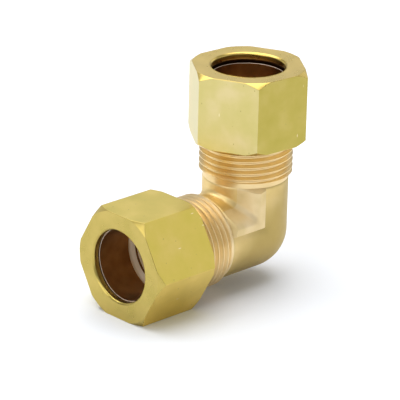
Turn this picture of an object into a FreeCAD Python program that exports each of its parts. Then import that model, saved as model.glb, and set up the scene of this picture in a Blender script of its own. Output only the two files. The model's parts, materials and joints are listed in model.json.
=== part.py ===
import FreeCAD, Part
import math
import os

# Compression union elbow for one size of tube: a forged brass elbow with a threaded
# arm up and a threaded arm to the side, and on each arm a hexagon nut that holds a
# loose tapered ferrule.  Millimetres.  The fitting stands on a flat of its side nut:
# the origin is below the middle of its bounding box, +Z runs out of the top arm and
# -X out of the side arm.
#
# Every arm piece is modelled about +Z with the crossing of the two arm axes at zero,
# so a height in an arm function is the distance from that crossing.

# ---- driving dimensions ----

# tube and the clearances, on the radius, around it
tube_od = 15.875
collar_clearance = 0.13
socket_clearance = 0.09
ferrule_clearance = 0.06

# thread, right-hand, 60 degree form
thread_pitch = 25.4 / 18
thread_build = 2.38125          # thread crest outside the tube
thread_clearance = 0.10         # between nut thread and body thread, square to a flank
thread_length = 15.64
runout_width = 1.26             # turned band between the forged arm and the thread
runout_depth = 0.03             # band below the thread root

# forged body
arm_over_root = 0.05            # forged arm outside the thread root
crotch_reach = 2.6              # from the inner corner to the turned band
waterway_r = 6.35
drill_point_angle = 118.0
socket_depth = 8.3
seat_half_angle = 15.0
mouth_chamfer = 0.7

# flat pad on the near (-Y) cheek of the inner corner
pad_rise = 0.08                 # pad face outside the forged arm
pad_corner = 2.85               # outer pad edges from the arm axes
pad_flat_width = 1.95
pad_tangent_angle = 52.0        # where the sloped pad side meets the arm, from the cheek
pad_edge_radius = 0.25

# ferrule
ferrule_length = 8.4
ferrule_wall = 0.90
ferrule_lip = 0.25              # wall left at each tapered end
ferrule_half_angle = 15.0
ferrule_insert = 1.8            # ferrule end inside the body's mouth
seat_gap = 0.29                 # around that end of the ferrule
ferrule_gap = 0.38              # between the ferrule and the nut's collar
top_ferrule_drop = 0.6          # the upright ferrule lies lower by this

# nut
nut_length = 16.5
nut_wall = 1.5875               # hexagon flat outside the thread crest
collar_depth = 1.47
collar_break = 0.12
cone_half_angle = 45.0
cone_land = 0.9
relief_width = 2.5
relief_depth = 0.03             # relief outside the nut's thread root
entry_chamfer = 0.6
front_circle = 0.50             # turned face circle outside the hexagon flats
rear_circle = 0.62
corner_chamfer_angle = 40.8     # chamfer at the hexagon corners, from the end face

# how the hexagons are turned about their arms
side_nut_clock = 30.0
top_nut_clock = -4.8

# ---- values that follow from them ----

# radii
tube_r = tube_od / 2
collar_r = tube_r + collar_clearance
socket_r = tube_r + socket_clearance
ferrule_bore_r = tube_r + ferrule_clearance
thread_crest_r = tube_r + thread_build
thread_root_r = thread_crest_r - 0.6134 * thread_pitch
nut_bore_r = thread_crest_r - 0.5413 * thread_pitch + thread_clearance
nut_root_r = thread_crest_r + thread_clearance
runout_r = thread_root_r - runout_depth
arm_r = thread_root_r + arm_over_root
ferrule_r = ferrule_bore_r + ferrule_wall
ferrule_end_r = ferrule_bore_r + ferrule_lip
hex_flat_r = thread_crest_r + nut_wall
hex_corner_r = hex_flat_r / math.cos(math.radians(30))

# distances from the crossing, outwards
arm_end = arm_r + crotch_reach
thread_start = arm_end + runout_width
mouth = thread_start + thread_length
tube_stop = mouth - socket_depth
ferrule_rear = mouth - ferrule_insert
ferrule_front = ferrule_rear + ferrule_length
collar_start = ferrule_front + ferrule_gap
nut_face = collar_start + collar_depth
nut_rear = nut_face - nut_length
cone_start = collar_start - (nut_bore_r - collar_r) / math.tan(math.radians(cone_half_angle))
relief_end = cone_start - cone_land
relief_start = relief_end - relief_width

# the crossing in the part's own frame
top_nut_reach = max(
    hex_corner_r * math.cos(math.radians(top_nut_clock + 60 * corner)) for corner in range(6)
)
crossing = FreeCAD.Vector((nut_face - top_nut_reach) / 2, 0, hex_flat_r)

origin = FreeCAD.Vector(0, 0, 0)
y_axis = FreeCAD.Vector(0, 1, 0)
z_axis = FreeCAD.Vector(0, 0, 1)
thread_slope = math.tan(math.radians(30))


def turned(profile):
    """A solid turned about +Z from (radius, height) points."""
    points = [FreeCAD.Vector(radius, 0, height) for radius, height in profile]
    face = Part.Face(Part.makePolygon(points + points[:1]))
    return face.revolve(origin, z_axis, 360)


def to_side(shape):
    """Turn an arm piece from the top arm (+Z) to the side arm (-X)."""
    shape = shape.copy()
    shape.rotate(origin, y_axis, -90)
    return shape


def placed(shape):
    """Move a piece from the crossing to its place in the part's frame."""
    shape = shape.copy()
    shape.translate(crossing)
    return shape


# ---- threads ----

def helical_groove(section, start, end):
    """A groove whose (radius, height) section climbs a right-hand helix about +Z."""
    helix = Part.makeLongHelix(thread_pitch, end - start, thread_crest_r, 0)
    helix.translate(z_axis * start)
    points = [FreeCAD.Vector(radius, 0, start + height) for radius, height in section]
    outline = Part.makePolygon(points + points[:1])
    return Part.Wire(helix).makePipeShell([outline], True, True)


def body_thread_groove():
    """The groove between the body's thread ridges; crest flats are an eighth of a pitch."""
    open_r = thread_crest_r + 0.08
    half_open = thread_pitch * 7 / 16 + (open_r - thread_crest_r) * thread_slope
    half_root = thread_pitch * 7 / 16 - (thread_crest_r - thread_root_r) * thread_slope
    section = [
        (open_r, -half_open),
        (open_r, half_open),
        (thread_root_r, half_root),
        (thread_root_r, -half_root),
    ]
    start = thread_start - runout_width / 2
    turns = math.ceil((mouth - start) / thread_pitch) + 1
    return helical_groove(section, start, start + turns * thread_pitch)


def nut_thread_groove():
    """The groove in the nut that the body's ridge runs in, clear of it all round."""
    flank_room = thread_clearance / math.cos(math.radians(30))
    open_r = nut_bore_r - 0.08
    half_crest = thread_pitch / 16 + flank_room
    half_root = half_crest - (nut_root_r - thread_crest_r) * thread_slope
    half_open = half_crest + (thread_crest_r - open_r) * thread_slope
    section = [
        (open_r, -half_open),
        (nut_root_r, -half_root),
        (nut_root_r, half_root),
        (open_r, half_open),
    ]
    ridge = thread_start - runout_width / 2 + thread_pitch / 2
    start = ridge + math.floor((nut_rear - ridge) / thread_pitch - 1) * thread_pitch
    turns = math.floor((relief_end - start) / thread_pitch)
    return helical_groove(section, start, start + turns * thread_pitch)


# ---- forged body ----

def arm_outside():
    """One arm, solid: forged stub, turned band and thread blank."""
    return turned([
        (0, 0),
        (arm_r, 0),
        (arm_r, arm_end),
        (runout_r, arm_end),
        (runout_r, thread_start),
        (thread_crest_r, thread_start),
        (thread_crest_r, mouth - mouth_chamfer),
        (thread_crest_r - mouth_chamfer, mouth),
        (0, mouth),
    ])


def arm_inside():
    """What is bored out of one arm: drilled waterway, tube socket and ferrule seat."""
    point = waterway_r / math.tan(math.radians(drill_point_angle / 2))
    seat_slope = math.tan(math.radians(seat_half_angle))
    seat_end_r = ferrule_end_r + seat_gap
    mouth_r = seat_end_r + ferrule_insert * seat_slope
    seat_start = ferrule_rear - (seat_end_r - socket_r) / seat_slope
    return turned([
        (0, -point),
        (waterway_r, 0),
        (waterway_r, tube_stop),
        (socket_r, tube_stop),
        (socket_r, seat_start),
        (mouth_r, mouth),
        (0, mouth),
    ])


def pad_bar():
    """The pad along the top arm, on the near cheek."""
    tangent = math.radians(pad_tangent_angle)
    face = -arm_r - pad_rise
    depth = -arm_r / 2
    outline = [
        (-pad_corner, face),
        (-pad_corner - pad_flat_width, face),
        (-arm_r * math.sin(tangent), -arm_r * math.cos(tangent)),
        (-pad_corner, depth),
    ]
    points = [FreeCAD.Vector(x, y, pad_corner) for x, y in outline]
    blank = Part.Face(Part.makePolygon(points + points[:1]))
    bar = blank.extrude(z_axis * (arm_end - pad_corner))
    edges = [edge for edge in bar.Edges if is_outer_pad_edge(edge, face)]
    return bar.makeFillet(pad_edge_radius, edges)


def is_outer_pad_edge(edge, face_y):
    """True for the pad's two long outer edges on its face."""
    middle = edge.CenterOfMass
    on_face = abs(middle.y - face_y) < 1e-6
    along_arm = abs(middle.x + pad_corner) < 1e-6
    across_end = abs(middle.z - pad_corner) < 1e-6
    return on_face and (along_arm or across_end)


def swapped(shape):
    """Carry a top arm piece to the side arm by mirroring in the mitre plane x = -z."""
    return shape.mirror(origin, FreeCAD.Vector(1, 0, 1))


def elbow_body():
    """The forged elbow: two threaded arms, a round heel and a pad on the near cheek."""
    outside = Part.makeSphere(arm_r)
    outside = outside.fuse([arm_outside(), to_side(arm_outside())])
    bar = pad_bar()
    outside = outside.fuse([bar, swapped(bar)])
    body = outside.cut([arm_inside(), to_side(arm_inside())])
    groove = body_thread_groove()
    return body.cut([groove, to_side(groove)])


# ---- ferrules ----

def ferrule(drop):
    """A sleeve tapered at both ends, lying `drop` nearer the crossing than at the nut."""
    taper = (ferrule_wall - ferrule_lip) / math.tan(math.radians(ferrule_half_angle))
    rear = ferrule_rear - drop
    front = ferrule_front - drop
    return turned([
        (ferrule_bore_r, rear),
        (ferrule_end_r, rear),
        (ferrule_r, rear + taper),
        (ferrule_r, front - taper),
        (ferrule_end_r, front),
        (ferrule_bore_r, front),
    ])


# ---- nuts ----

def hexagon(clock):
    """The nut's hexagon bar, its corners `clock` degrees from +X."""
    corners = []
    for corner in range(6):
        angle = math.radians(clock + 60 * corner)
        corners.append(FreeCAD.Vector(
            hex_corner_r * math.cos(angle), hex_corner_r * math.sin(angle), nut_rear))
    blank = Part.Face(Part.makePolygon(corners + corners[:1]))
    return blank.extrude(z_axis * nut_length)


def nut_turning():
    """The turned outside that takes the hexagon's corners off at both ends."""
    slope = math.tan(math.radians(corner_chamfer_angle))
    outer = hex_corner_r + 1
    front_r = hex_flat_r + front_circle
    rear_r = hex_flat_r + rear_circle
    return turned([
        (0, nut_rear),
        (rear_r, nut_rear),
        (outer, nut_rear + (outer - rear_r) * slope),
        (outer, nut_face - (outer - front_r) * slope),
        (front_r, nut_face),
        (0, nut_face),
    ])


def nut_inside():
    """What is bored out of a nut: thread bore, relief, ferrule cone and collar."""
    relief_r = nut_root_r + relief_depth
    return turned([
        (0, nut_rear),
        (nut_bore_r + entry_chamfer, nut_rear),
        (nut_bore_r, nut_rear + entry_chamfer),
        (nut_bore_r, relief_start),
        (relief_r, relief_start),
        (relief_r, relief_end),
        (nut_bore_r, relief_end),
        (nut_bore_r, cone_start),
        (collar_r, collar_start),
        (collar_r, nut_face - collar_break),
        (collar_r + collar_break, nut_face),
        (0, nut_face),
    ])


def nut(clock):
    """A long hexagon compression nut."""
    blank = hexagon(clock).common(nut_turning())
    return blank.cut(nut_inside()).cut(nut_thread_groove())


# ---- the assembly ----

pieces = {
    "elbow_body": elbow_body(),
    "side_nut": to_side(nut(side_nut_clock)),
    "top_nut": nut(top_nut_clock),
    "side_ferrule": to_side(ferrule(0)),
    "top_ferrule": ferrule(top_ferrule_drop),
}

os.makedirs("parts", exist_ok=True)
for node, piece in pieces.items():
    shape = placed(piece)
    shape.exportStep("parts/" + node + ".step")
    print(node, len(shape.Solids), "solid, valid", shape.isValid(), round(shape.Volume, 1), "mm3")
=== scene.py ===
# %% [markdown]
# # A brass compression elbow
# This notebook dresses a plumber's elbow for Blender. The fitting is one forged body
# with two threaded arms, a long hexagon nut on each arm, and a thin tapered ferrule
# inside each nut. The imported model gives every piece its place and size, so the first
# cell loads it and the next ones only measure it.

# %% Load the frame
import json
import math

import bmesh
import bpy
from mathutils import Matrix, Vector, noise


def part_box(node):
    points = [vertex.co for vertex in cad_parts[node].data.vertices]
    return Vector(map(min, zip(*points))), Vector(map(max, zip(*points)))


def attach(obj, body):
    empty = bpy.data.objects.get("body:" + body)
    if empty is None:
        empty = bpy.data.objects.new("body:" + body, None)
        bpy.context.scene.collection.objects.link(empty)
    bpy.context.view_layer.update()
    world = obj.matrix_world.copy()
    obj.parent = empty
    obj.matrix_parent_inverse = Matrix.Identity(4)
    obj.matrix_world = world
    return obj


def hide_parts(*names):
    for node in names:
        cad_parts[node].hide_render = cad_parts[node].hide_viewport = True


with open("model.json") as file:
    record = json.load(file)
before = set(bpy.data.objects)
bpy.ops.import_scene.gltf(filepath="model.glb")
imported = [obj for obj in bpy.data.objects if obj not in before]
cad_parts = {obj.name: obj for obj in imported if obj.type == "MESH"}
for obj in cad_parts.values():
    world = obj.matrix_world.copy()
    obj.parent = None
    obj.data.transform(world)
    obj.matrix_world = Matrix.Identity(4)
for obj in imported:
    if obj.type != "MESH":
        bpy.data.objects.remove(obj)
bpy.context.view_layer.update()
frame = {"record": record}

MM = 0.001

# %% [markdown]
# ## Where the arms cross
# Everything on this fitting is turned or bored about one of two lines: the upright arm
# and the level arm. Their crossing is the natural zero. The two tube sockets of the
# record lie on those lines, so they give the crossing, and the boxes of the packed
# pieces give the distances along an arm.

# %% Measure the frame
mounts = {mount["name"]: mount for mount in frame["record"]["mounts"]}
crossing = Vector((mounts["top_tube_socket"]["pos_m"][0], 0, mounts["side_tube_socket"]["pos_m"][2]))


def along_top_arm(node):
    """Nearest and furthest distance of a piece of the upright arm from the crossing, in mm."""
    low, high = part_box(node)
    return (low.z - crossing.z) / MM, (high.z - crossing.z) / MM


def along_side_arm(node):
    """The same for a piece of the level arm, which points along -X."""
    low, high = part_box(node)
    return (crossing.x - high.x) / MM, (crossing.x - low.x) / MM


mouth = along_top_arm("elbow_body")[1]
nut_low, nut_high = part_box("side_nut")
nut_rear, nut_face = along_top_arm("top_nut")
hex_flat_r = (nut_high.z - nut_low.z) / MM / 2
print("mouth", round(mouth, 3), "nut", round(nut_rear, 3), round(nut_face, 3))

# %% [markdown]
# ## Sizes that the boxes can't give
# A box only says how far a piece reaches. The bores, the thread and the forged pad are
# inside or between those limits, so they are named here once, in millimetres. The thread
# is a 60 degree one with 18 ridges to the inch, so its depth is a share of its pitch.

# %% Name the thread's sizes
flank_angle = math.radians(30)
thread_pitch = 25.4 / 18
thread_slope = math.tan(flank_angle)
body_thread_depth = 0.6134 * thread_pitch
nut_thread_depth = 0.5413 * thread_pitch
thread_room = 0.10
thread_crest_r = 10.31875
thread_root_r = thread_crest_r - body_thread_depth
nut_thread_crest_r = thread_crest_r - nut_thread_depth + thread_room
nut_thread_root_r = thread_crest_r + thread_room
print("body thread", round(thread_root_r, 3), "to", round(thread_crest_r, 3), "from the axis")

# %% Name the body's sizes
arm_over_root = 0.05
crotch_reach = 2.6
band_depth = 0.03
band_width = 1.26
groove_lead = 0.63
arm_r = thread_root_r + arm_over_root
arm_end = arm_r + crotch_reach
band_r = thread_root_r - band_depth
thread_start = arm_end + band_width
first_groove = thread_start - groove_lead
mouth_chamfer = 0.7
waterway_r = 6.35
socket_r = 8.0275
socket_depth = 8.3
tube_stop = mouth - socket_depth
seat_depth = 3.713
seat_start = mouth - seat_depth
seat_mouth_r = 9.0198
seat_groove_width = 0.50
seat_groove_depth = 0.28
seat_groove_slant = 0.05
print("forged arm", round(arm_r, 3), "thread from", round(thread_start, 3), "to", round(mouth, 3))

# %% Name the sizes inside a nut
collar_r = 8.0675
collar_depth = 1.47
cone_land = 0.9
relief_width = 2.5
relief_depth = 0.03
entry_chamfer = 0.6
collar_start = nut_face - collar_depth
cone_start = collar_start - (nut_thread_crest_r - collar_r)
relief_end = cone_start - cone_land
relief_start = relief_end - relief_width
relief_r = nut_thread_root_r + relief_depth
print("collar from", round(collar_start, 3), "relief", round(relief_start, 3), "to", round(relief_end, 3))

# %% [markdown]
# ## Turning a piece
# A lathe makes rings, so a turned piece is a stack of rings of points. Here each column
# of points is one cut through the wall, and the columns stand side by side round the
# axis. A closed column gives a closed ring, with no seam and no stray face. Columns may
# differ from each other, which is how a hexagon or a pad joins a round bore.

# %% Helpers for rings and rounded corners
widest_reach = 0.45      # of a side, so that the curves at its two ends never meet
merge_distance = 0.0005 * MM


def corner_curve(before, corner, after, radius, steps):
    """`steps` + 1 points of a short curve in place of a corner between two neighbours."""
    back = before - corner
    ahead = after - corner
    start = corner + back.normalized() * min(radius, back.length * widest_reach)
    end = corner + ahead.normalized() * min(radius, ahead.length * widest_reach)
    shares = [step / steps for step in range(steps + 1)]
    return [start * (1 - t) ** 2 + corner * 2 * t * (1 - t) + end * t ** 2 for t in shares]


def rounded(corners, radius, steps):
    """(radius, height) points of a closed outline with every corner made a curve."""
    places = [Vector(corner) for corner in corners]
    points = []
    for index, place in enumerate(places):
        after = places[(index + 1) % len(places)]
        points += corner_curve(places[index - 1], place, after, radius, steps)
    return [tuple(point) for point in points]


def ring_mesh(name, columns, closed_columns=True):
    """A mesh from columns of (x, y, z) points in mm that stand side by side round an axis."""
    height = len(columns[0])
    verts = [Vector(point) * MM for column in columns for point in column]
    rows = range(height if closed_columns else height - 1)
    faces = []
    for index in range(len(columns)):
        here = index * height
        beside = ((index + 1) % len(columns)) * height
        for row in rows:
            up = (row + 1) % height
            faces.append((here + row, beside + row, beside + up, here + up))
    mesh = bpy.data.meshes.new(name)
    mesh.from_pydata(verts, [], faces)
    return mesh


def face_outwards(mesh):
    """Merge doubled points and turn every face outwards."""
    work = bmesh.new()
    work.from_mesh(mesh)
    bmesh.ops.remove_doubles(work, verts=work.verts, dist=merge_distance)
    bmesh.ops.dissolve_degenerate(work, edges=work.edges, dist=merge_distance)
    bmesh.ops.recalc_face_normals(work, faces=work.faces)
    work.to_mesh(mesh)
    work.free()


def new_object(name, mesh):
    """Put a mesh in the scene as an object at the origin."""
    piece = bpy.data.objects.new(name, mesh)
    bpy.context.scene.collection.objects.link(piece)
    return piece


def turned_column(outline, angle):
    """One cut of a turned piece: (radius, height) points stood up at an angle."""
    return [(radius * math.cos(angle), radius * math.sin(angle), height) for radius, height in outline]


# An arm piece is made about +Z with zero at the crossing. These two carry it to its arm.
to_top_arm = Matrix.Translation(crossing)
to_side_arm = Matrix.Translation(crossing) @ Matrix.Rotation(math.radians(-90), 4, "Y")

# %% [markdown]
# ## The thread as a cutter
# A die doesn't add ridges, it cuts a groove. The groove is one section that climbs a
# helix, which is what Geometry Nodes are good at: a spiral curve, a four-sided profile,
# and Curve to Mesh between them. The tree's inputs are the thread's own sizes, so the
# same tree makes the groove in the body and the wider one in the nuts.

# %% Build the groove tree
steps_per_turn = 96


def add_input(tree, name, kind, value):
    """A named input of a node group, with its first value."""
    socket = tree.interface.new_socket(name=name, in_out="INPUT", socket_type=kind)
    socket.default_value = value
    return socket.identifier


def add_node(tree, kind, label, **settings):
    """A node with a readable label and its settings."""
    node = tree.nodes.new(kind)
    node.label = label
    for key, value in settings.items():
        setattr(node, key, value)
    return node


def groove_tree():
    """Spiral + profile -> Curve to Mesh, with the thread's sizes as inputs."""
    tree = bpy.data.node_groups.new("helical groove", "GeometryNodeTree")
    names = {}
    for name, value in (("Pitch", 1.4), ("Turns", 10.0), ("Radius", 10.0), ("Start", 0.0),
                        ("Narrow half width", 0.1), ("Wide half width", 0.6), ("Depth", 0.9)):
        names[name] = add_input(tree, name, "NodeSocketFloat", value)
    names["Material"] = tree.interface.new_socket(
        name="Material", in_out="INPUT", socket_type="NodeSocketMaterial").identifier
    tree.interface.new_socket(name="Geometry", in_out="OUTPUT", socket_type="NodeSocketGeometry")
    link = tree.links.new
    given = add_node(tree, "NodeGroupInput", "sizes")
    result = add_node(tree, "NodeGroupOutput", "groove")

    rise = add_node(tree, "ShaderNodeMath", "height of all turns", operation="MULTIPLY")
    link(given.outputs["Pitch"], rise.inputs[0])
    link(given.outputs["Turns"], rise.inputs[1])
    spiral = add_node(tree, "GeometryNodeCurveSpiral", "path of the tool")
    spiral.inputs["Resolution"].default_value = steps_per_turn
    spiral.inputs["Reverse"].default_value = True
    link(given.outputs["Turns"], spiral.inputs["Rotations"])
    link(given.outputs["Radius"], spiral.inputs["Start Radius"])
    link(given.outputs["Radius"], spiral.inputs["End Radius"])
    link(rise.outputs[0], spiral.inputs["Height"])
    upright = add_node(tree, "GeometryNodeSetCurveNormal", "keep the tool upright", mode="Z_UP")
    link(spiral.outputs[0], upright.inputs["Curve"])

    corners = [add_node(tree, "ShaderNodeCombineXYZ", f"tool corner {index + 1}") for index in range(4)]
    for index, (width, at_wide_end, side) in enumerate(
            (("Narrow half width", False, -1), ("Wide half width", True, -1),
             ("Wide half width", True, 1), ("Narrow half width", False, 1))):
        across = add_node(tree, "ShaderNodeMath", "across the groove", operation="MULTIPLY")
        link(given.outputs[width], across.inputs[0])
        across.inputs[1].default_value = side
        link(across.outputs[0], corners[index].inputs["Y"])
        if at_wide_end:
            link(given.outputs["Depth"], corners[index].inputs["X"])
    profile = add_node(tree, "GeometryNodeCurvePrimitiveQuadrilateral", "the tool", mode="POINTS")
    for index, corner in enumerate(corners):
        link(corner.outputs[0], profile.inputs[f"Point {index + 1}"])

    sweep = add_node(tree, "GeometryNodeCurveToMesh", "cut along the path")
    sweep.inputs["Fill Caps"].default_value = True
    link(upright.outputs[0], sweep.inputs["Curve"])
    link(profile.outputs[0], sweep.inputs["Profile Curve"])
    lift = add_node(tree, "GeometryNodeTransform", "lift to the start")
    height = add_node(tree, "ShaderNodeCombineXYZ", "start height")
    link(given.outputs["Start"], height.inputs["Z"])
    link(height.outputs[0], lift.inputs["Translation"])
    link(sweep.outputs[0], lift.inputs["Geometry"])
    realize = add_node(tree, "GeometryNodeRealizeInstances", "plain mesh")
    finish = add_node(tree, "GeometryNodeSetMaterial", "cut metal")
    link(lift.outputs[0], realize.inputs[0])
    link(realize.outputs[0], finish.inputs["Geometry"])
    link(given.outputs["Material"], finish.inputs["Material"])
    link(finish.outputs[0], result.inputs[0])
    return tree, names


groove_nodes, groove_inputs = groove_tree()

# %% [markdown]
# ## Cutting a groove into a blank
# The modifier's inputs are set by their identifiers, then the evaluated result is copied
# to a plain mesh. That mesh is the tool, and a Boolean with the Manifold solver takes it
# out of the blank, so the threaded piece is one skin with sharp flanks. The tool stands a
# little proud of the metal, because two faces that only just touch make a bad cut. A
# ridge's crest is an eighth of the pitch wide, so half the groove between two is 7/16 of it.

# %% Helpers that make and use the tool
tool_overlap = 0.08


def plain_copy(piece, name):
    """The piece's evaluated mesh, without its modifiers."""
    bpy.context.view_layer.update()
    evaluated = piece.evaluated_get(bpy.context.evaluated_depsgraph_get())
    mesh = bpy.data.meshes.new_from_object(evaluated)
    mesh.name = name
    return mesh


def groove_tool(name, start, turns, radius, narrow, wide, depth, material):
    """A helical cutter about +Z: `narrow` and `wide` are half widths, `depth` grows outwards."""
    holder = new_object(name, bpy.data.meshes.new(name))
    modifier = holder.modifiers.new("groove", "NODES")
    modifier.node_group = groove_nodes
    sizes = {"Pitch": thread_pitch, "Turns": turns, "Radius": radius, "Start": start,
             "Narrow half width": narrow, "Wide half width": wide, "Depth": depth}
    for key, value in sizes.items():
        modifier[groove_inputs[key]] = float(value if key == "Turns" else value * MM)
    modifier[groove_inputs["Material"]] = material
    mesh = plain_copy(holder, name)
    bpy.data.objects.remove(holder)
    face_outwards(mesh)
    return mesh


def cut_with(name, blank, tools):
    """The blank mesh less every tool mesh, as a new plain mesh."""
    piece = new_object(name + "_blank", blank)
    helpers = []
    for tool in tools:
        helper = new_object(name + "_tool", tool)
        modifier = piece.modifiers.new("cut", "BOOLEAN")
        modifier.operation = "DIFFERENCE"
        modifier.solver = "MANIFOLD"
        modifier.object = helper
        helpers.append(helper)
    mesh = plain_copy(piece, name)
    for helper in helpers + [piece]:
        bpy.data.objects.remove(helper)
    return mesh


def body_groove(material):
    """The groove between the body's ridges, from the turned band past the mouth."""
    depth = thread_crest_r + tool_overlap - thread_root_r
    narrow = thread_pitch * 7 / 16 - (thread_crest_r - thread_root_r) * thread_slope
    turns = math.ceil((mouth - first_groove) / thread_pitch) + 1
    return groove_tool("body_groove", first_groove, turns, thread_root_r,
                       narrow, narrow + depth * thread_slope, depth, material)


def nut_groove(material):
    """The groove in a nut that a body ridge runs in; it is wide at the bore."""
    flank_room = thread_room / math.cos(flank_angle)
    half_crest = thread_pitch / 16 + flank_room
    inner_r = nut_thread_crest_r - tool_overlap
    depth = nut_thread_root_r - inner_r
    at_root = half_crest - thread_room * thread_slope
    ridge = first_groove + thread_pitch / 2
    start = ridge + math.floor((nut_rear - ridge) / thread_pitch - 1) * thread_pitch
    turns = math.floor((relief_end - start) / thread_pitch)
    return groove_tool("nut_groove", start, turns, inner_r,
                       at_root + depth * thread_slope, at_root, depth, material)


# %% [markdown]
# ## The hexagon nut
# A nut is hexagon bar with its ends faced and its corners chamfered in the lathe. In
# each cut through the axis the outline is the same three limits: the end face, the
# chamfer cone and the flat, which stands further out at the corners. Shrinking the three
# limits by the edge radius and rolling a small ball round what is left gives the softly
# broken edges, and the curved line where the cone runs out on each flat.

# %% Make a nut
edge_r = 0.10
bore_edge_r = 0.08
hex_corner_radius = 0.16
hex_corner_r = hex_flat_r / math.cos(math.radians(30))
front_circle = 0.50      # the turned circle of an end face, outside the flats
rear_circle = 0.62
chamfer_angle = math.radians(40.8)
countersink = 0.42
nut_columns = 360


def flat_distance(angle):
    """Radius of the rounded hexagon at an angle from one of its corners."""
    from_corner = (angle + math.pi / 6) % (math.pi / 3) - math.pi / 6
    centre = hex_corner_r - hex_corner_radius / math.sin(math.radians(60))
    tangent = math.radians(30) - math.atan(centre * 0.5 / hex_flat_r)
    if abs(from_corner) < tangent:
        across = centre * math.sin(from_corner)
        return centre * math.cos(from_corner) + math.sqrt(hex_corner_radius ** 2 - across ** 2)
    return hex_flat_r / math.cos(math.pi / 6 - abs(from_corner))


def rolled_end(flat_r, circle_r):
    """(radius, distance below the end face) points from the end face round to the flat."""
    slope = math.tan(chamfer_angle)
    face_drop = edge_r
    side_r = flat_r - edge_r
    # Moving the chamfer cone inwards by the edge radius takes it this much further down.
    cone_shift = edge_r / math.cos(chamfer_angle)
    upper_r = min(side_r, circle_r + (face_drop - cone_shift) / slope)
    lower_drop = max(face_drop, (side_r - circle_r) * slope + cone_shift)
    points = []
    cone_normal = math.pi / 2 - chamfer_angle
    for step in range(5):
        angle = math.pi / 2 + (cone_normal - math.pi / 2) * step / 4
        points.append((upper_r + edge_r * math.cos(angle), face_drop - edge_r * math.sin(angle)))
    for step in range(5):
        angle = cone_normal * (1 - step / 4)
        points.append((side_r + edge_r * math.cos(angle), lower_drop - edge_r * math.sin(angle)))
    return points


def nut_bore():
    """The bored outline from the front face down to the rear face."""
    corners = [
        (collar_r + countersink, nut_face),
        (collar_r, nut_face - countersink),
        (collar_r, collar_start),
        (nut_thread_crest_r, cone_start),
        (nut_thread_crest_r, relief_end),
        (relief_r, relief_end),
        (relief_r, relief_start),
        (nut_thread_crest_r, relief_start),
        (nut_thread_crest_r, nut_rear + entry_chamfer),
        (nut_thread_crest_r + entry_chamfer, nut_rear),
    ]
    return rounded(corners, bore_edge_r, steps=2)


def nut_blank(name):
    """The nut before its thread is cut, its corners at 0, 60, 120 ... degrees."""
    bore = nut_bore()
    columns = []
    for index in range(nut_columns):
        angle = 2 * math.pi * index / nut_columns
        flat_r = flat_distance(angle)
        front_points = rolled_end(flat_r, hex_flat_r + front_circle)
        rear_points = rolled_end(flat_r, hex_flat_r + rear_circle)
        front = [(radius, nut_face - drop) for radius, drop in front_points]
        rear = [(radius, nut_rear + drop) for radius, drop in rear_points]
        columns.append(turned_column(front + rear[::-1] + bore[::-1], angle))
    mesh = ring_mesh(name, columns)
    face_outwards(mesh)
    return mesh

# %% [markdown]
# ## The forged elbow
# Two alike arms meet in the mitre plane, so one arm is made and then mirrored. Each
# column starts on the mitre, runs out along the forged arm, over the turned band and the
# thread blank to the mouth, and comes back through the seat, the tube socket and the
# waterway to the mitre again. On the heel the first stretch follows a ball, so both arms
# join in a smooth round corner. The forged part's section isn't quite a circle. The near
# cheek carries a flat pad for a wrench, and the heel carries the fine ridge that the
# die's parting line leaves.

# %% Shape the section of a forged arm
pad_face = arm_r + 0.08
pad_corner = 2.85
pad_flat_end = pad_corner + 2.35
pad_tangent = math.radians(55)      # where the sloped side meets the arm, from the cheek
pad_foot_r = 0.14
pad_edge_r = 0.22
pad_shoulder_r = 2.2
crotch_fillet_r = 1.2
pad_corner_land = 3.0
parting_width = 0.32
parting_height = 0.07
ridge_angles = [math.radians(degrees) for degrees in (0, 1, 2, 3, 4, 5.5, 7.5)]
plain_start = math.radians(10)


def parting_ridge(angle):
    """How far the die's parting line stands out at an angle from the heel."""
    across = arm_r * math.sin(angle) / parting_width
    return parting_height * math.exp(-across ** 2) if abs(angle) < math.pi / 2 else 0


def ridged(angle):
    """A point of the round section, on the parting line's ridge where there is one."""
    radius = arm_r + parting_ridge(angle)
    return Vector((radius * math.cos(angle), radius * math.sin(angle)))


def far_cheek():
    """(x, y) points of the plain round half of the section, from the heel to the crotch."""
    steps = 68
    turn = math.radians(170)
    plain_angles = [plain_start + turn * step / steps for step in range(steps + 1)]
    return [ridged(angle) for angle in ridge_angles + plain_angles]


def near_cheek():
    """The same for the half that carries the pad."""
    pad_foot = math.acos(-pad_corner / arm_r)
    steps = 34
    turn = pad_foot - plain_start
    plain_angles = [plain_start + turn * step / steps for step in range(steps)]
    points = [ridged(angle) for angle in ridge_angles + plain_angles]
    foot = Vector((-pad_corner, arm_r * math.sin(pad_foot)))
    edge = Vector((-pad_corner, pad_face))
    shoulder = Vector((-pad_flat_end, pad_face))
    slope_end = Vector((-arm_r * math.sin(pad_tangent), arm_r * math.cos(pad_tangent)))
    points += corner_curve(points[-1], foot, edge, pad_foot_r, 4)
    points += corner_curve(foot, edge, shoulder, pad_edge_r, 4)
    points += [points[-1].lerp(shoulder, share) for share in (0.15, 0.35)]
    points += corner_curve(edge, shoulder, slope_end, pad_shoulder_r, 14)
    points += [points[-1].lerp(slope_end, share) for share in (0.3, 0.6, 0.85)]
    slope_angle = math.pi / 2 + pad_tangent
    steps = 16
    for step in range(steps + 1):
        angle = slope_angle + (math.pi - slope_angle) * step / steps
        points.append(Vector((arm_r * math.cos(angle), arm_r * math.sin(angle))))
    return points


def section_outline():
    """The whole section, anticlockwise from the heel."""
    return far_cheek() + [Vector((point.x, -point.y)) for point in near_cheek()[-2:0:-1]]


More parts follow.
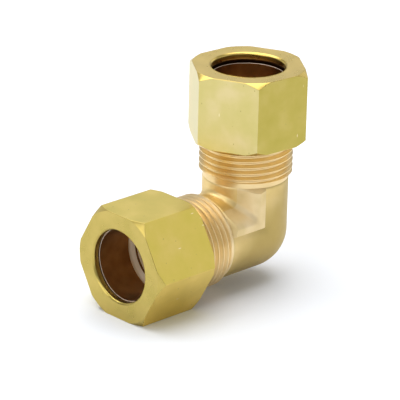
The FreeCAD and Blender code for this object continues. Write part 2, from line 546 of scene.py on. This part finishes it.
def spread_angles(outline):
    """An angle for each outline point, always growing, for the round rows beyond the forging."""
    angles = [math.atan2(point.y, point.x) % (2 * math.pi) for point in outline]
    smallest = math.radians(0.15)
    for index in reversed(range(len(outline) - 1)):
        angles[index] = min(angles[index], angles[index + 1] - smallest)
    return angles


# %% Stand the columns of one arm
forged_rows = 26
forged_end = arm_end - 0.25
pad_end_slope = 0.6
rim_step = 0.12
turned_edge_r = 0.06
drill_slope = math.tan(math.radians(59))


def end_of_forging(radius):
    """Height of a column's last forged row; the pad stops short of the band with a slope."""
    return forged_end - pad_end_slope * max(0, radius - arm_r - parting_height)


def inner_fillet(x):
    """Radius that blends the two arms: tight at the pad's corner, wide in the crotch."""
    share = max(0, min(1, (-x - pad_corner) / pad_corner_land))
    return pad_edge_r + (crotch_fillet_r - pad_edge_r) * share * share * (3 - 2 * share)


def forged_path(point, share):
    """The place on the forged surface at a share of the way from the mitre to the arm's end."""
    radius = point.length
    last = end_of_forging(radius)
    across = point.x / radius
    if across <= 0:
        fillet = min(inner_fillet(point.x), -point.x / 2)
        bend_end = fillet - point.x
        bend_length = fillet * math.pi / 4
        travelled = (bend_length + last - bend_end) * share
        if travelled >= bend_length:
            return point.x, point.y, bend_end + travelled - bend_length
        turn = math.pi / 4 * (1 - travelled / bend_length)
        return point.x - fillet * (1 - math.cos(turn)), point.y, bend_end - fillet * math.sin(turn)
    ball_angle = math.atan(across)
    ball_length = radius * ball_angle
    travelled = (ball_length + last) * share
    if travelled >= ball_length:
        return point.x, point.y, travelled - ball_length
    below = ball_angle - travelled / radius
    return point.x * math.cos(below), point.y * math.cos(below), -radius * math.sin(below)


def forged_wobble(place):
    """The slight unevenness of a forging, in mm, fading out at the mitre and the turned end."""
    from_mitre = (place.z + place.x) / 3
    from_end = (forged_end - place.z) / 1.5
    fade = max(0, min(1, from_mitre, from_end))
    return 0.035 * fade * noise.noise(place * 0.35) + 0.012 * fade * noise.noise(place * 1.1)


def outer_band(angle):
    """A column's places over the band and thread blank to the mouth, and in to the waterway."""
    groove_r = socket_r + seat_groove_depth
    corners = [
        (arm_r - 0.04, arm_end),
        (band_r, arm_end),
        (band_r, thread_start),
        (thread_crest_r, thread_start),
        (thread_crest_r, mouth - mouth_chamfer),
        (thread_crest_r - mouth_chamfer, mouth),
        (seat_mouth_r, mouth),
        (socket_r, seat_start),
        (groove_r, seat_start - seat_groove_slant),
        (groove_r, seat_start - seat_groove_width),
        (socket_r, seat_start - seat_groove_width - seat_groove_slant),
        (socket_r, tube_stop),
        (waterway_r, tube_stop),
    ]
    # The first and last corner join other rows, so their curves are left out.
    return turned_column(rounded(corners, turned_edge_r, steps=2)[3:-3], angle)


def waterway_end(angle):
    """Where the drilled waterway meets the mitre plane, on the crotch side or in the drill's point."""
    across = math.cos(angle)
    shoulder = (waterway_r, max(0, -waterway_r * across) + 0.1)
    if across <= 0:
        return [shoulder, (waterway_r, -waterway_r * across)]
    height = -waterway_r * across / (1 + drill_slope * across)
    return [shoulder, (waterway_r + height * drill_slope, height)]


def arm_columns():
    """The columns of the upright arm, from the outer mitre to the inner mitre."""
    outline = section_outline()
    columns = []
    for point, angle in zip(outline, spread_angles(outline)):
        column = []
        for row in range(forged_rows + 1):
            place = Vector(forged_path(point, row / forged_rows))
            away = Vector((place.x, place.y, min(place.z, 0))).normalized()
            column.append(place + away * forged_wobble(place))
        rim = Vector((point.x, point.y, 0))
        inset = rim.normalized() * min(rim.length - rim_step, arm_r)
        column.append(Vector((inset.x, inset.y, arm_end)))
        column += [Vector(place) for place in outer_band(angle)]
        bore = Vector((math.cos(angle), math.sin(angle), 0)) * waterway_r
        column.append(bore + Vector((0, 0, tube_stop)))
        column.append(bore + Vector((0, 0, arm_end)))
        column += [Vector(place) for place in turned_column(waterway_end(angle), angle)]
        columns.append(column)
    return columns


def elbow_blank(name):
    """Both arms, welded on the mitre, before the threads are cut."""
    columns = arm_columns()
    mirrored = [[(-place.z, place.y, -place.x) for place in column] for column in columns]
    upright = ring_mesh(name, columns, closed_columns=False)
    level = ring_mesh(name + "_level", mirrored, closed_columns=False)
    work = bmesh.new()
    work.from_mesh(upright)
    work.from_mesh(level)
    work.to_mesh(upright)
    work.free()
    bpy.data.meshes.remove(level)
    face_outwards(upright)
    return upright


# %% [markdown]
# ## The ferrules
# A ferrule is a thin sleeve, tapered at both ends so that the nut's cone and the body's
# seat can squeeze it onto the tube. Its box gives its ends, so both come from one
# function and differ only in where they lie.

# %% Make a ferrule
ferrule_bore_r = 7.9975
ferrule_wall = 0.90
ferrule_lip = 0.25
ferrule_r = ferrule_bore_r + ferrule_wall
ferrule_end_r = ferrule_bore_r + ferrule_lip
ferrule_edge_r = 0.07
ferrule_slope = math.tan(math.radians(15))
ferrule_columns = 144


def ferrule_mesh(name, rear, front):
    """A double-tapered sleeve between two distances from the crossing."""
    taper = (ferrule_r - ferrule_end_r) / ferrule_slope
    corners = [
        (ferrule_bore_r, rear),
        (ferrule_end_r, rear),
        (ferrule_r, rear + taper),
        (ferrule_r, front - taper),
        (ferrule_end_r, front),
        (ferrule_bore_r, front),
    ]
    outline = rounded(corners, ferrule_edge_r, steps=3)
    angles = [2 * math.pi * index / ferrule_columns for index in range(ferrule_columns)]
    mesh = ring_mesh(name, [turned_column(outline, angle) for angle in angles])
    face_outwards(mesh)
    return mesh

# %% [markdown]
# ## Put the pieces on their bodies
# Every piece takes the place of one imported node and rides on that node's body. The mesh
# is moved, not the object, so each object stays at the origin and a pattern in object
# coordinates can't slide.

# %% Assemble
def dress(name, mesh, placing, node, body):
    """Place a mesh in the frame and hand it to its body."""
    mesh.transform(placing)
    mesh.update()
    piece = new_object(name, mesh)
    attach(piece, body)
    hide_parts(node)
    print(name, len(mesh.vertices), "points", len(mesh.polygons), "faces")
    return piece


cut_metal = bpy.data.materials.new("cut_metal")      # only until the finishes take its place
upright_groove = body_groove(cut_metal)
level_groove = upright_groove.copy()
level_groove.transform(Matrix.Rotation(math.radians(-90), 4, "Y"))
elbow_mesh = cut_with("forged_elbow", elbow_blank("elbow"), [upright_groove, level_groove])
elbow = dress("forged_elbow", elbow_mesh, to_top_arm, "elbow_body", "elbow")

arms = {"side": to_side_arm, "top": to_top_arm}
nut_clocks = {"side": math.radians(30.0), "top": math.radians(-4.8)}
nuts = []
for side, placing in arms.items():
    blank = nut_blank(side + "_blank")
    blank.transform(Matrix.Rotation(nut_clocks[side], 4, "Z"))
    mesh = cut_with(side + "_hex_nut", blank, [nut_groove(cut_metal)])
    node = side + "_nut"
    nuts.append(dress(side + "_hex_nut", mesh, placing, node, node))

ferrule_reach = {"side": along_side_arm("side_ferrule"), "top": along_top_arm("top_ferrule")}
ferrules = []
for side, placing in arms.items():
    name = side + "_sleeve"
    mesh = ferrule_mesh(name, *ferrule_reach[side])
    ferrules.append(dress(name, mesh, placing, side + "_ferrule", name))

# %% [markdown]
# ## Smooth faces and crisp edges
# Turned metal is smooth along its curves and breaks sharply where two cuts meet. So all
# faces are shaded smooth, and edges where the skin turns by more than 30 degrees are
# marked sharp. A Weighted Normal modifier then lets the large flats keep their own
# direction instead of bending towards the small rolled edges beside them.

# %% Shade the pieces
sharp_turn = math.radians(30)


def shade(piece):
    """Smooth shading with sharp edges, and flats that stay flat."""
    piece.data.shade_smooth()
    piece.data.set_sharp_from_angle(angle=sharp_turn)
    modifier = piece.modifiers.new("weighted", "WEIGHTED_NORMAL")
    modifier.keep_sharp = True
    modifier.weight = 50
    shaded = plain_copy(piece, piece.name)
    piece.modifiers.clear()
    piece.data = shaded
    sharp = sum(1 for edge in shaded.edges if edge.use_edge_sharp)
    print(piece.name, sharp, "sharp edges")


for piece in [elbow] + nuts + ferrules:
    shade(piece)

# %% [markdown]
# ## Brass, and how each surface was made
# All five pieces are brass, but each surface shows the tool that made it. The flats of a
# nut are the skin of drawn bar: long faint lines, a few dents and rubbed spots. Ends,
# chamfers and threads are turned: fine rings about the arm. The body's skin comes out of a
# forging die and is dull and grainy. The bores of the nuts and ferrules are painted dark
# brown, a painted shade, and so is the relief groove in the body.
# Each finish is a small node tree. A Mapping node brings the object's coordinates to
# millimetres about one arm, so that lines run along that arm and rings run round it.

# %% Helpers for metal
def metal(name, roughness):
    """A metal of one roughness: the material, its tree and its shader."""
    material = bpy.data.materials.new(name)
    material.use_nodes = True
    shader = material.node_tree.nodes["Principled BSDF"]
    shader.inputs["Metallic"].default_value = 1.0
    shader.inputs["Roughness"].default_value = roughness
    return material, material.node_tree, shader


def arm_coordinates(tree, placing):
    """Object coordinates in mm about an arm: Z runs along it and zero is the crossing."""
    from_arm = placing.inverted()
    source = add_node(tree, "ShaderNodeTexCoord", "place on the piece")
    turned = add_node(tree, "ShaderNodeMapping", "mm about the arm", vector_type="POINT")
    turned.inputs["Scale"].default_value = (1 / MM, 1 / MM, 1 / MM)
    turned.inputs["Rotation"].default_value = from_arm.to_euler()
    turned.inputs["Location"].default_value = from_arm.translation / MM
    tree.links.new(source.outputs["Object"], turned.inputs["Vector"])
    return turned.outputs["Vector"]


def stretched(tree, place, factors):
    """The coordinates scaled by one factor per axis, to stretch a pattern."""
    scaled = add_node(tree, "ShaderNodeVectorMath", "stretch", operation="MULTIPLY")
    tree.links.new(place, scaled.inputs[0])
    scaled.inputs[1].default_value = factors
    return scaled.outputs["Vector"]


def grain(tree, place, label, per_mm, detail):
    """A noise value between 0 and 1, with `per_mm` features to the millimetre."""
    cloud = add_node(tree, "ShaderNodeTexNoise", label)
    cloud.inputs["Scale"].default_value = per_mm
    cloud.inputs["Detail"].default_value = detail
    tree.links.new(place, cloud.inputs["Vector"])
    return cloud.outputs["Fac"]


def tool_rings(tree, place, per_mm):
    """Turning marks: a value that changes only with radius plus height about the arm."""
    flat = stretched(tree, place, (1, 1, 0))
    radius = add_node(tree, "ShaderNodeVectorMath", "radius", operation="LENGTH")
    tree.links.new(flat, radius.inputs[0])
    parts = add_node(tree, "ShaderNodeSeparateXYZ", "height")
    tree.links.new(place, parts.inputs[0])
    travel = add_node(tree, "ShaderNodeMath", "feed of the tool", operation="ADD")
    tree.links.new(radius.outputs["Value"], travel.inputs[0])
    tree.links.new(parts.outputs["Z"], travel.inputs[1])
    marks = add_node(tree, "ShaderNodeTexNoise", "turning marks", noise_dimensions="1D")
    marks.inputs["Scale"].default_value = per_mm
    marks.inputs["Detail"].default_value = 3.0
    tree.links.new(travel.outputs[0], marks.inputs["W"])
    return marks.outputs["Fac"]


def nicks(tree, place, per_mm, size):
    """Small spots: 1 inside a spot of about `size` of its cell, 0 elsewhere."""
    cells = add_node(tree, "ShaderNodeTexVoronoi", "dent places")
    cells.inputs["Scale"].default_value = per_mm
    tree.links.new(place, cells.inputs["Vector"])
    dent = add_node(tree, "ShaderNodeMapRange", "dents", interpolation_type="SMOOTHSTEP")
    dent.inputs["From Min"].default_value = size
    dent.inputs["From Max"].default_value = size * 0.4
    tree.links.new(cells.outputs["Distance"], dent.inputs["Value"])
    return dent.outputs["Result"]


def ramp(tree, value, stops, label):
    """Colours at places between 0 and 1."""
    colours = add_node(tree, "ShaderNodeValToRGB", label)
    colours.color_ramp.elements[0].position = stops[0][0]
    colours.color_ramp.elements[0].color = (*stops[0][1], 1)
    colours.color_ramp.elements[1].position = stops[-1][0]
    colours.color_ramp.elements[1].color = (*stops[-1][1], 1)
    for position, colour in stops[1:-1]:
        colours.color_ramp.elements.new(position).color = (*colour, 1)
    tree.links.new(value, colours.inputs["Fac"])
    return colours.outputs["Color"]


def tinted(tree, amount, colour, tint):
    """`colour` turned towards `tint` by `amount`."""
    mix = add_node(tree, "ShaderNodeMix", "tint", data_type="RGBA")
    tree.links.new(amount, mix.inputs["Factor"])
    tree.links.new(colour, mix.inputs["A"])
    mix.inputs["B"].default_value = (*tint, 1)
    return mix.outputs["Result"]


def roughness_from(tree, shader, value, low, high):
    """Roughness that follows a pattern between two limits."""
    spread = add_node(tree, "ShaderNodeMapRange", "roughness")
    spread.inputs["To Min"].default_value = low
    spread.inputs["To Max"].default_value = high
    tree.links.new(value, spread.inputs["Value"])
    tree.links.new(spread.outputs["Result"], shader.inputs["Roughness"])


def bumps(tree, shader, layers):
    """Bump nodes in a row, each (height value, depth in mm, strength)."""
    before = None
    for height, depth, strength in layers:
        bump = add_node(tree, "ShaderNodeBump", "relief")
        bump.inputs["Distance"].default_value = depth * MM
        bump.inputs["Strength"].default_value = strength
        tree.links.new(height, bump.inputs["Height"])
        if before:
            tree.links.new(before, bump.inputs["Normal"])
        before = bump.outputs["Normal"]
    tree.links.new(before, shader.inputs["Normal"])


# %% [markdown]
# ## The finishes
# The colours are metal colours, so they are the tint of what the surface reflects. The
# nuts are a greener yellow than the forging, which has a paler and pinker skin. Pure metal
# only mirrors, so deep in a hole it turns black. The ferrules and the body's bore are made
# partly matt instead, and show their colour in the little light that gets in.

# %% Make the finishes
dent_tone = (0.42, 0.34, 0.10)
rub_tone = (0.92, 0.80, 0.50)


def drawn_flats(name, placing, low, middle, high):
    """The flats of a nut: drawn lines along the bar, soft patches, dents and pale rubs."""
    material, tree, shader = metal(name, 0.30)
    place = arm_coordinates(tree, placing)
    along_bar = stretched(tree, place, (1, 1, 0.035))
    lines = grain(tree, along_bar, "drawn lines", per_mm=5.0, detail=3.0)
    patches = grain(tree, place, "soft patches", per_mm=0.16, detail=3.0)
    dents = nicks(tree, stretched(tree, place, (1, 1, 0.6)), per_mm=0.62, size=0.085)
    rubs = nicks(tree, stretched(tree, place, (1.7, 1.7, 0.35)), per_mm=0.31, size=0.060)
    colour = ramp(tree, patches, ((0.30, low), (0.52, middle), (0.72, high)), "bar skin")
    colour = tinted(tree, dents, colour, dent_tone)
    colour = tinted(tree, rubs, colour, rub_tone)
    tree.links.new(colour, shader.inputs["Base Color"])
    roughness_from(tree, shader, patches, low=0.24, high=0.38)
    bumps(tree, shader, ((patches, 0.05, 0.35), (lines, 0.006, 0.5), (dents, 0.02, -0.4)))
    return material


def turned_brass(name, placing, low, high, smooth, dull):
    """Ends, chamfers and threads: rings left by the tool, in a colour between two tones."""
    material, tree, shader = metal(name, smooth)
    place = arm_coordinates(tree, placing)
    rings = tool_rings(tree, place, per_mm=5.0)
    patches = grain(tree, place, "soft patches", per_mm=0.22, detail=2.0)
    colour = ramp(tree, patches, ((0.32, low), (0.70, high)), "turned metal")
    tree.links.new(colour, shader.inputs["Base Color"])
    roughness_from(tree, shader, patches, smooth, dull)
    bumps(tree, shader, ((rings, 0.010, 0.5), (patches, 0.03, 0.2)))
    return material


def bored_brass(name, placing, low, high, roughness, metallic=1.0):
    """Bores and inner threads, with coarser tool marks and a colour between two tones; dark tones here
    are painted shade.
    """
    material, tree, shader = metal(name, roughness)
    shader.inputs["Metallic"].default_value = metallic
    place = arm_coordinates(tree, placing)
    rings = tool_rings(tree, place, per_mm=3.0)
    patches = grain(tree, place, "bore patches", per_mm=0.35, detail=3.0)
    colour = ramp(tree, patches, ((0.30, low), (0.70, high)), "bore colour")
    tree.links.new(colour, shader.inputs["Base Color"])
    bumps(tree, shader, ((rings, 0.015, 0.5),))
    return material


# Towards the heel the skin and the pad turn to their fourth tone, a painted shade.
heel_side = (math.sqrt(0.5), 0, -math.sqrt(0.5))
heel_shade_start, heel_shade_full = -11.0, -2.5


def forged_skin(name, placing, low, middle, high, heel_painted_shade, smooth, dull):
    """The die's dull skin: fine grain, soft hollows and mottled tones, with painted shade towards the
    heel.
    """
    material, tree, shader = metal(name, smooth)
    place = arm_coordinates(tree, placing)
    fine = grain(tree, place, "die grain", per_mm=3.2, detail=4.0)
    hollows = grain(tree, place, "soft hollows", per_mm=0.55, detail=2.0)
    patches = grain(tree, place, "scale patches", per_mm=0.20, detail=3.0)
    colour = ramp(tree, patches, ((0.30, low), (0.50, middle), (0.72, high)), "forged skin")
    depth = add_node(tree, "ShaderNodeVectorMath", "way to the heel", operation="DOT_PRODUCT")
    tree.links.new(place, depth.inputs[0])
    depth.inputs[1].default_value = heel_side
    near_heel = add_node(tree, "ShaderNodeMapRange", "painted shade near heel", interpolation_type="SMOOTHSTEP")
    near_heel.inputs["From Min"].default_value = heel_shade_start
    near_heel.inputs["From Max"].default_value = heel_shade_full
    tree.links.new(depth.outputs["Value"], near_heel.inputs["Value"])
    colour = tinted(tree, near_heel.outputs["Result"], colour, heel_painted_shade)
    tree.links.new(colour, shader.inputs["Base Color"])
    roughness_from(tree, shader, hollows, smooth, dull)
    bumps(tree, shader, ((hollows, 0.06, 0.35), (fine, 0.02, 0.35)))
    return material


sleeve_tones = ((0.92, 0.74, 0.56), (0.98, 0.83, 0.68))


def ferrule_brass(name, placing):
    """The thin sleeve: a paler, pinker brass with a turned skin."""
    material, tree, shader = metal(name, 0.34)
    shader.inputs["Metallic"].default_value = 0.6
    place = arm_coordinates(tree, placing)
    rings = tool_rings(tree, place, per_mm=4.0)
    patches = grain(tree, place, "soft patches", per_mm=0.4, detail=2.0)
    colour = ramp(tree, patches, ((0.30, sleeve_tones[0]), (0.70, sleeve_tones[1])), "sleeve")
    tree.links.new(colour, shader.inputs["Base Color"])
    bumps(tree, shader, ((rings, 0.008, 0.4),))
    return material


# %% [markdown]
# ## Give each face its finish
# A face's finish follows from where it lies about its arm: how far from the axis, how far
# along, and which way it looks. The body belongs to both arms, so a face there is
# measured about the arm that it is further along. One flat of each nut gets a brass of its
# own as painted light: paler on the level nut's lower front flat, a painted reflection of
# the floor, and darker on the upright nut's front flat, a painted shade.

# %% Sort the faces
def about_arm(face, placing):
    """(radius, height, outward share, axial share) of a face about an arm, in mm."""
    centre = (placing.inverted() @ face.center) / MM
    normal = placing.inverted().to_3x3() @ face.normal
    radius = math.hypot(centre.x, centre.y)
    outward = (normal.x * centre.x + normal.y * centre.y) / max(radius, 1e-6)
    return radius, centre.z, outward, normal.z


def finish(piece, materials, choose):
    """Give the piece its materials and every face the index that `choose` returns."""
    piece.data.materials.clear()
    for material in materials:
        piece.data.materials.append(material)
    for face in piece.data.polygons:
        face.material_index = choose(face)
    used = sorted({face.material_index for face in piece.data.polygons})
    print(piece.name, [materials[index].name for index in used])


# The order of each piece's finishes.
flat, turned_end, nut_bored, painted_flat = range(4)
forged, top_cut, side_cut, body_bored, pressed, relieved = range(6)
sleeve_skin, sleeve_bored = range(2)
end_reach = 3.0                         # how far into a nut its turned ends are looked for
same_flat = math.cos(math.radians(29))  # the flats beside it look 60 degrees another way


def nut_finish(placing, painted_light_side):
    """Flats, turned ends, or bore; the flat that looks to the given side carries the nut's painted light
    or painted shade.
    """
    def choose(face):
        radius, height, outward, axial = about_arm(face, placing)
        if height > collar_start and abs(axial) < 0.2 and radius < collar_r + 0.2:
            return turned_end
        if radius > hex_flat_r - 0.5 and abs(axial) < 0.25:
            return painted_flat if face.normal.dot(painted_light_side) > same_flat else flat
        at_rear = height < nut_rear + end_reach
        near_end = height > nut_face - end_reach or at_rear
        if radius > collar_r + 0.01 and abs(axial) > 0.2 and near_end:
            inside_thread = radius < nut_thread_root_r and at_rear and outward < -0.3
            inside_cone = height < nut_face - 0.5 and outward < -0.1
            return nut_bored if inside_thread or inside_cone else turned_end
        return nut_bored
    return choose


def body_finish(face):
    """Forged skin or pad, the cut thread of either arm, the bore, or the groove in it."""
    top = about_arm(face, to_top_arm)
    side = about_arm(face, to_side_arm)
    on_top = top[1] > side[1]
    radius, height, outward, _ = top if on_top else side
    in_groove = socket_r + 0.02 < radius < seat_mouth_r and height < seat_start + 0.04
    if in_groove and height > tube_stop:
        return relieved
    if height < 0.5 and math.hypot(radius, height) > arm_r - 0.5:
        return forged
    inner = radius < seat_mouth_r and outward < -0.05
    if inner or radius < socket_r - 0.05:
        return body_bored
    if height > arm_end - 0.02:
        return top_cut if on_top else side_cut
    place = (to_top_arm.inverted() @ face.center) / MM
    on_near_cheek = place.y < -arm_r * math.cos(pad_tangent)
    on_pad = on_near_cheek and place.x < -pad_corner and place.z > pad_corner
    return pressed if on_pad else forged


def sleeve_finish(placing):
    """A sleeve's pale skin and ends, and its bore in dark painted shade."""
    def choose(face):
        outward = about_arm(face, placing)[2]
        return sleeve_bored if outward < -0.9 else sleeve_skin
    return choose


# Each finish's tones, from its darkest patch to its palest. The forged skin and the pad have
# a fourth that they turn to towards the heel, a painted shade.
# The upright nut's flats are paler and greyer than the level nut's: a painted reflection.
bar_tones = {"side": ((0.62, 0.50, 0.100), (0.67, 0.53, 0.120), (0.73, 0.57, 0.16)),
             "top": ((0.60, 0.515, 0.18), (0.65, 0.55, 0.22), (0.72, 0.60, 0.29))}
# Painted light on one flat per nut: the level nut's lower front flat is paler, a painted reflection, and
# the upright nut's front flat is darker, a painted shade.
painted_light_tones = {"side": ((0.80, 0.60, 0.12), (0.86, 0.65, 0.14), (0.92, 0.70, 0.18)),
                   "top": ((0.45, 0.37, 0.075), (0.50, 0.405, 0.095), (0.56, 0.45, 0.13))}
painted_light_sides = {"side": Vector((0, -0.87, -0.5)), "top": Vector((-0.084, -0.996, 0))}
# The two nuts' turned ends are one finish: the level nut's darker tones are painted shade, the upright
# nut's paler ones painted light.
end_tones = {"side": ((0.47, 0.37, 0.090), (0.56, 0.43, 0.12)),
             "top": ((0.62, 0.46, 0.110), (0.70, 0.52, 0.15))}
# The two arms' threads are cut alike; the level arm's paler tones are painted light.
thread_tones = {"side": ((0.88, 0.68, 0.37), (0.95, 0.77, 0.47)),
                "top": ((0.80, 0.60, 0.29), (0.88, 0.68, 0.36))}
# Dark brown painted shade for the deep bores and inner threads of the nuts, the sleeve bores and the
# relief groove behind each seat.
bore_shade_tones = ((0.24, 0.115, 0.035), (0.34, 0.17, 0.060))
fresh_tones = ((0.97, 0.82, 0.62), (1.0, 0.90, 0.74))
# The skin's fourth, dark tone is the painted shade at the heel.
skin_tones = ((0.76, 0.57, 0.23), (0.82, 0.62, 0.27), (0.90, 0.70, 0.36), (0.50, 0.37, 0.125))
pad_tones = ((0.78, 0.62, 0.30), (0.86, 0.69, 0.38), (0.94, 0.77, 0.48), (0.88, 0.71, 0.41))

# %% Finish the nuts
# The fourth finish of each nut is one flat in painted light (level nut) and in painted shade (upright
# nut).
for (side, placing), piece in zip(arms.items(), nuts):
    finish(piece, [drawn_flats(side + "_drawn_flats", placing, *bar_tones[side]),
                   turned_brass(side + "_turned_ends", placing, *end_tones[side], smooth=0.22, dull=0.34),
                   bored_brass(side + "_nut_bore", placing, *bore_shade_tones, roughness=0.36),
                   drawn_flats(side + "_painted_light_flat", placing, *painted_light_tones[side])],
           nut_finish(placing, painted_light_sides[side]))

# %% Finish the elbow
thread_shine = {"top": (0.32, 0.42), "side": (0.36, 0.46)}
finish(elbow, [forged_skin("forged_skin", to_top_arm, *skin_tones, smooth=0.38, dull=0.54),
               turned_brass("top_cut_thread", to_top_arm, *thread_tones["top"], *thread_shine["top"]),
               turned_brass("side_cut_thread", to_side_arm, *thread_tones["side"], *thread_shine["side"]),
               bored_brass("body_bore", to_top_arm, *fresh_tones, roughness=0.60, metallic=0.1),
               forged_skin("pressed_pad", to_top_arm, *pad_tones, smooth=0.52, dull=0.68),
               bored_brass("body_relief", to_top_arm, *bore_shade_tones, roughness=0.50)],
       body_finish)

# %% Finish the ferrules
for (side, placing), piece in zip(arms.items(), ferrules):
    finish(piece, [ferrule_brass(side + "_sleeve_skin", placing),
                   bored_brass(side + "_sleeve_bore", placing, *bore_shade_tones, roughness=0.36)],
           sleeve_finish(placing))

# %% [markdown]
# ## Floor
# The fitting lies on a plain white sheet, which also lights it from below. The sheet is far
# wider than the view, so metal that looks sideways still sees it.

# %% Lay the sheet
sheet_size = 4.0
half_sheet = sheet_size / 2
sheet_corners = [(half_sheet * x, half_sheet * y, 0) for x, y in ((-1, -1), (1, -1), (1, 1), (-1, 1))]
sheet_mesh = bpy.data.meshes.new("white_sheet")
sheet_mesh.from_pydata(sheet_corners, [], [(0, 1, 2, 3)])
sheet = new_object("white_sheet", sheet_mesh)
paper = bpy.data.materials.new("paper")
paper.use_nodes = True
paper_shader = paper.node_tree.nodes["Principled BSDF"]
paper_shader.inputs["Base Color"].default_value = (0.88, 0.90, 0.94, 1)
paper_shader.inputs["Roughness"].default_value = 0.9
paper_shader.inputs["Specular IOR Level"].default_value = 0.1
sheet_mesh.materials.append(paper)
print("sheet", sheet_size, "m wide")

# %% [markdown]
# ## Light
# Polished metal is only as good as what it mirrors. An evenly lit room gives the ground
# tone. A very large soft box overhead makes the soft shadow, and weaker ones low down give
# each flat its own brightness.

# %% Light the studio
world = bpy.data.worlds.new("bright_room")
bpy.context.scene.world = world
world.use_nodes = True
room = world.node_tree.nodes["Background"]
room.inputs["Color"].default_value = (0.96, 0.98, 1.0, 1)
room.inputs["Strength"].default_value = 0.36


def soft_box(name, place, size, power):
    """A square white light that looks at the fitting; place and size in metres, power in watts."""
    light = bpy.data.lights.new(name, "AREA")
    light.shape = "SQUARE"
    light.size = size
    light.energy = power
    box = bpy.data.objects.new(name, light)
    aim = Vector((0, 0, crossing.z)) - Vector(place)
    box.matrix_world = Matrix.LocRotScale(Vector(place), aim.to_track_quat("-Z", "Y"), None)
    bpy.context.scene.collection.objects.link(box)
    print(name, "box", size, "m wide,", power, "W")


soft_box("overhead", (0.03, 0.25, 1.00), size=1.35, power=14.6)
soft_box("left", (-0.85, 0.00, 0.45), size=0.60, power=2.0)
soft_box("right_front", (0.60, -0.65, 0.40), size=0.50, power=0.58)
soft_box("right_rear", (0.60, 0.65, 0.35), size=0.60, power=0.45)
soft_box("right", (1.00, 0.08, 0.42), size=0.45, power=0.45)
soft_box("rear", (-0.08, 1.00, 0.22), size=0.50, power=0.45)

# %% [markdown]
# ## Camera
# A long lens from the front left, a little above the fitting, keeps the edges nearly
# parallel. The angles are measured from straight in front, and a roll of about a degree
# turns the picture a little.

# %% Place the camera
view_azimuth = math.radians(-44.00)
view_height = math.radians(21.61)
view_roll = math.radians(1.371)
view_distance = 0.65915
view_centre = crossing + Vector((-11.927, 1.788, 8.326)) * MM
back = Vector((math.sin(view_azimuth) * math.cos(view_height),
               -math.cos(view_azimuth) * math.cos(view_height), math.sin(view_height)))
level = Vector((math.cos(view_azimuth), math.sin(view_azimuth), 0))
above = back.cross(level)
across = level * math.cos(view_roll) + above * math.sin(view_roll)
upward = above * math.cos(view_roll) - level * math.sin(view_roll)

lens = bpy.data.cameras.new("camera")
lens.sensor_width = 36      # mm, as is the focal length
lens.lens = 271.8
lens.clip_start = 0.01
camera = bpy.data.objects.new("camera", lens)
turn = Matrix((across, upward, back)).transposed().to_4x4()
camera.matrix_world = Matrix.Translation(view_centre + back * view_distance) @ turn
bpy.context.scene.collection.objects.link(camera)
bpy.context.scene.camera = camera
bpy.context.scene.view_settings.view_transform = "Standard"
print("camera at", [round(value, 4) for value in camera.matrix_world.translation])
